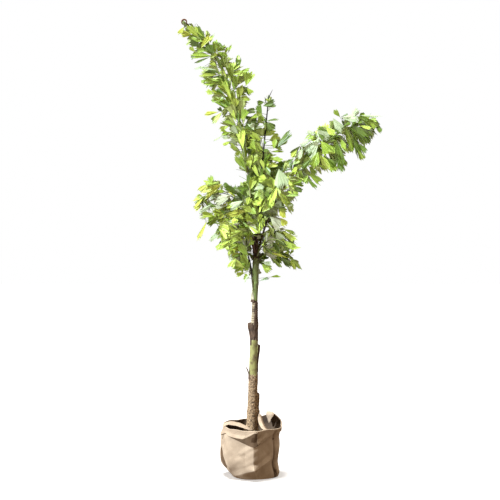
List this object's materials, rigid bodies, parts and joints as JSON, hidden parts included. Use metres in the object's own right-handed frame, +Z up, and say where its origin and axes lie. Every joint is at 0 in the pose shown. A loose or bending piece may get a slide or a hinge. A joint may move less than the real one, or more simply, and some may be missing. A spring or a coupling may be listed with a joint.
{
  "type": "young fishtail palm with a paper-wrapped root ball",
  "caption": "Young palm with plumes of fishtail leaflets on arching fronds, a slim fibrous stem and a root ball in a folded paper bag.",
  "frame": {"origin": "centre of the wrapped root ball's flat underside, on the ground", "axes": "+Z up along the stem, +X towards the side frond that reaches furthest, -Y towards the viewer of the picture"},
  "size_m": [1.1161, 0.8679, 2.3894],
  "materials": {
    "kraft_paper": "matte",
    "soil": "matte",
    "stem_fibre": "matte",
    "green_sheath": "satin",
    "heart_fibre": "matte",
    "old_sheath": "matte",
    "leaf_blade": "satin"
  },
  "bodies": {
    "root": {"wrap": "kraft_paper", "root_ball": "soil", "trunk": "stem_fibre", "crownshaft": "green_sheath", "crown_heart": "heart_fibre", "old_leaf_base_1": "old_sheath", "old_leaf_base_2": "old_sheath", "old_leaf_base_3": "old_sheath", "old_leaf_base_4": "old_sheath", "frond_tall_left": "leaf_blade", "frond_tall_right": "leaf_blade", "frond_spear": "leaf_blade", "frond_arch_left": "leaf_blade", "frond_low_left": "leaf_blade", "frond_low_right": "leaf_blade", "frond_lowest_right": "leaf_blade", "frond_low_front": "leaf_blade", "frond_front_left": "leaf_blade", "frond_front_right": "leaf_blade", "frond_back": "leaf_blade", "frond_back_low": "leaf_blade"}
  },
  "joints": []
}
